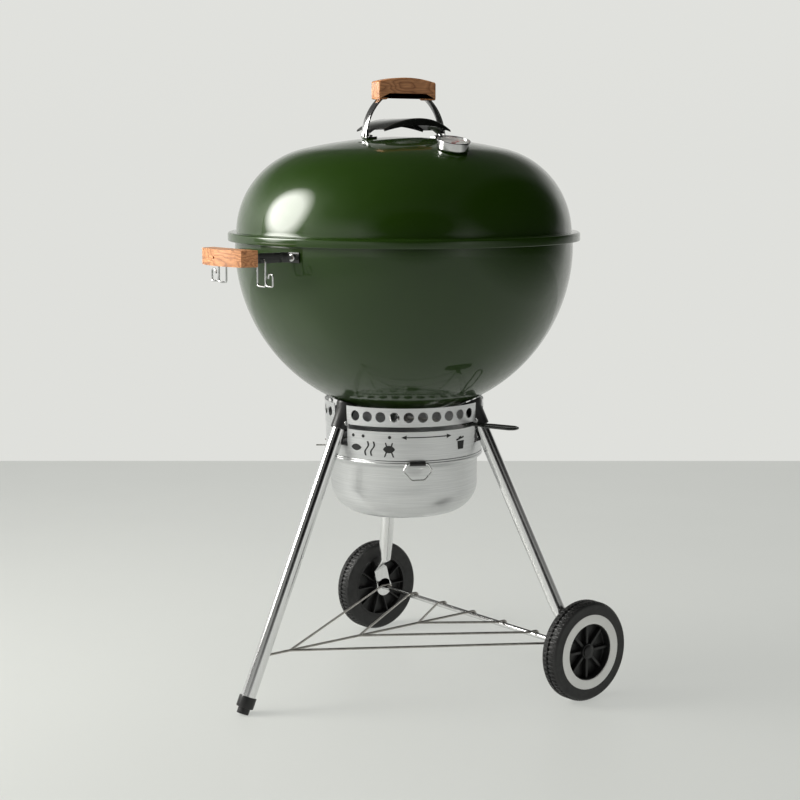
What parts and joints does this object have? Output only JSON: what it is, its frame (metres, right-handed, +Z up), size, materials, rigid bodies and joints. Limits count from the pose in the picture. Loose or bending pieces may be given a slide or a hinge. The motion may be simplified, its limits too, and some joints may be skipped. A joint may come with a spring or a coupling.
{
  "type": "kettle charcoal grill",
  "caption": "Round kettle charcoal grill with a domed lid, wooden grips, an ash catcher with cleaning lever, two wheels and a wire rack between its legs.",
  "frame": {"origin": "on the floor, under the centre of the kettle", "axes": "+Z up; the plain leg stands towards -X, the axle runs parallel to Y on the +X side"},
  "size_m": [0.7429, 0.6, 1.0276],
  "materials": {
    "green_enamel": "gloss",
    "black_enamel": "gloss",
    "black_plastic": "satin",
    "polished_aluminium": "polished",
    "brushed_aluminium": "brushed",
    "steel_wire": "satin",
    "plated_steel": "polished",
    "black_print": "matte",
    "wood": "oiled",
    "glass": "clear",
    "dial_face": "matte",
    "pointer_red": "gloss",
    "tyre_rubber": "matte",
    "white_plastic": "satin"
  },
  "bodies": {
    "kettle": {"bowl": "green_enamel", "grate_brackets": "green_enamel", "leg_socket_plain": "black_plastic", "leg_socket_left": "black_plastic", "leg_socket_right": "black_plastic", "socket_screws": "plated_steel", "leg_plain": "polished_aluminium", "leg_left": "polished_aluminium", "leg_right": "polished_aluminium", "foot_cap": "black_plastic", "foot_glide": "black_plastic", "axle": "plated_steel", "wire_rack": "steel_wire", "ash_ring": "brushed_aluminium", "ring_pictograms": "black_print", "ring_spring_wire": "steel_wire", "side_strap_hooks": "black_enamel", "side_strap_plain": "black_enamel", "side_grip_hooks": "wood", "side_grip_plain": "wood", "side_bolts": "plated_steel", "tool_hooks": "plated_steel"},
    "cooking_grate": {"cooking_grate": "plated_steel"},
    "flap_front": {"grate_flap_front": "plated_steel"},
    "flap_back": {"grate_flap_back": "plated_steel"},
    "charcoal_grate": {"charcoal_grate": "steel_wire"},
    "cleaning_system": {"sweep_shaft": "steel_wire", "sweep_blades": "steel_wire", "lever_arm": "steel_wire", "lever_handle": "black_enamel", "lever_pin": "plated_steel"},
    "bucket": {"ash_bucket": "brushed_aluminium", "bail_clip": "black_plastic"},
    "bail": {"bucket_bail": "plated_steel"},
    "lid": {"lid": "green_enamel", "lid_hook": "steel_wire", "lid_strap": "polished_aluminium", "lid_grip": "wood", "heat_shield": "black_enamel", "lid_bolts": "plated_steel", "thermometer_case": "plated_steel", "thermometer_dial": "dial_face", "thermometer_glass": "glass", "thermometer_probe": "steel_wire", "thermometer_nut": "plated_steel", "damper_rivet": "plated_steel"},
    "pointer": {"thermometer_pointer": "pointer_red"},
    "damper": {"lid_damper": "brushed_aluminium"},
    "wheel_left": {"tyre_left": "tyre_rubber", "wheel_ring_left": "white_plastic", "wheel_hub_left": "black_plastic", "wheel_cap_left": "black_plastic"},
    "wheel_right": {"tyre_right": "tyre_rubber", "wheel_ring_right": "white_plastic", "wheel_hub_right": "black_plastic", "wheel_cap_right": "black_plastic"}
  },
  "joints": [
    {"name": "lid_lift", "type": "slide", "parent": "kettle", "child": "lid", "axis": [0, 0, 1], "range_m": [0, 0.25]},
    {"name": "damper_turn", "type": "hinge", "parent": "lid", "child": "damper", "pos_m": [0.04564, 0.09788, 0.92268], "axis": [0.0617, 0.1323, 0.9893], "range_deg": [0, 45]},
    {"name": "pointer_turn", "type": "hinge", "parent": "lid", "child": "pointer", "pos_m": [-0.03618, -0.1702, 0.90978], "axis": [-0.0545, -0.2563, 0.965], "range_deg": [-250, 0]},
    {"name": "cooking_grate_lift", "type": "slide", "parent": "kettle", "child": "cooking_grate", "axis": [0, 0, 1], "range_m": [0, 0.03]},
    {"name": "flap_front_hinge", "type": "hinge", "parent": "cooking_grate", "child": "flap_front", "pos_m": [0.15, 0, 0.735], "axis": [0, -1, 0], "range_deg": [0, 90]},
    {"name": "flap_back_hinge", "type": "hinge", "parent": "cooking_grate", "child": "flap_back", "pos_m": [-0.15, 0, 0.735], "axis": [0, 1, 0], "range_deg": [0, 90]},
    {"name": "charcoal_grate_lift", "type": "slide", "parent": "kettle", "child": "charcoal_grate", "axis": [0, 0, 1], "range_m": [0, 0.1]},
    {"name": "sweep_turn", "type": "hinge", "parent": "kettle", "child": "cleaning_system", "pos_m": [0, 0, 0.457], "axis": [0, 0, 1], "range_deg": [-97, 0]},
    {"name": "bucket_drop", "type": "slide", "parent": "kettle", "child": "bucket", "axis": [0, 0, -1], "range_m": [0, 0.15]},
    {"name": "bail_swing", "type": "hinge", "parent": "bucket", "child": "bail", "pos_m": [-0.067, -0.12087, 0.401], "axis": [-0.8746, 0.4848, 0], "range_deg": [0, 100]},
    {"name": "wheel_left_spin", "type": "hinge", "parent": "kettle", "child": "wheel_left", "pos_m": [0.1575, 0.284, 0.084], "axis": [0, 1, 0], "continuous": true},
    {"name": "wheel_right_spin", "type": "hinge", "parent": "kettle", "child": "wheel_right", "pos_m": [0.1575, -0.284, 0.084], "axis": [0, 1, 0], "continuous": true}
  ]
}
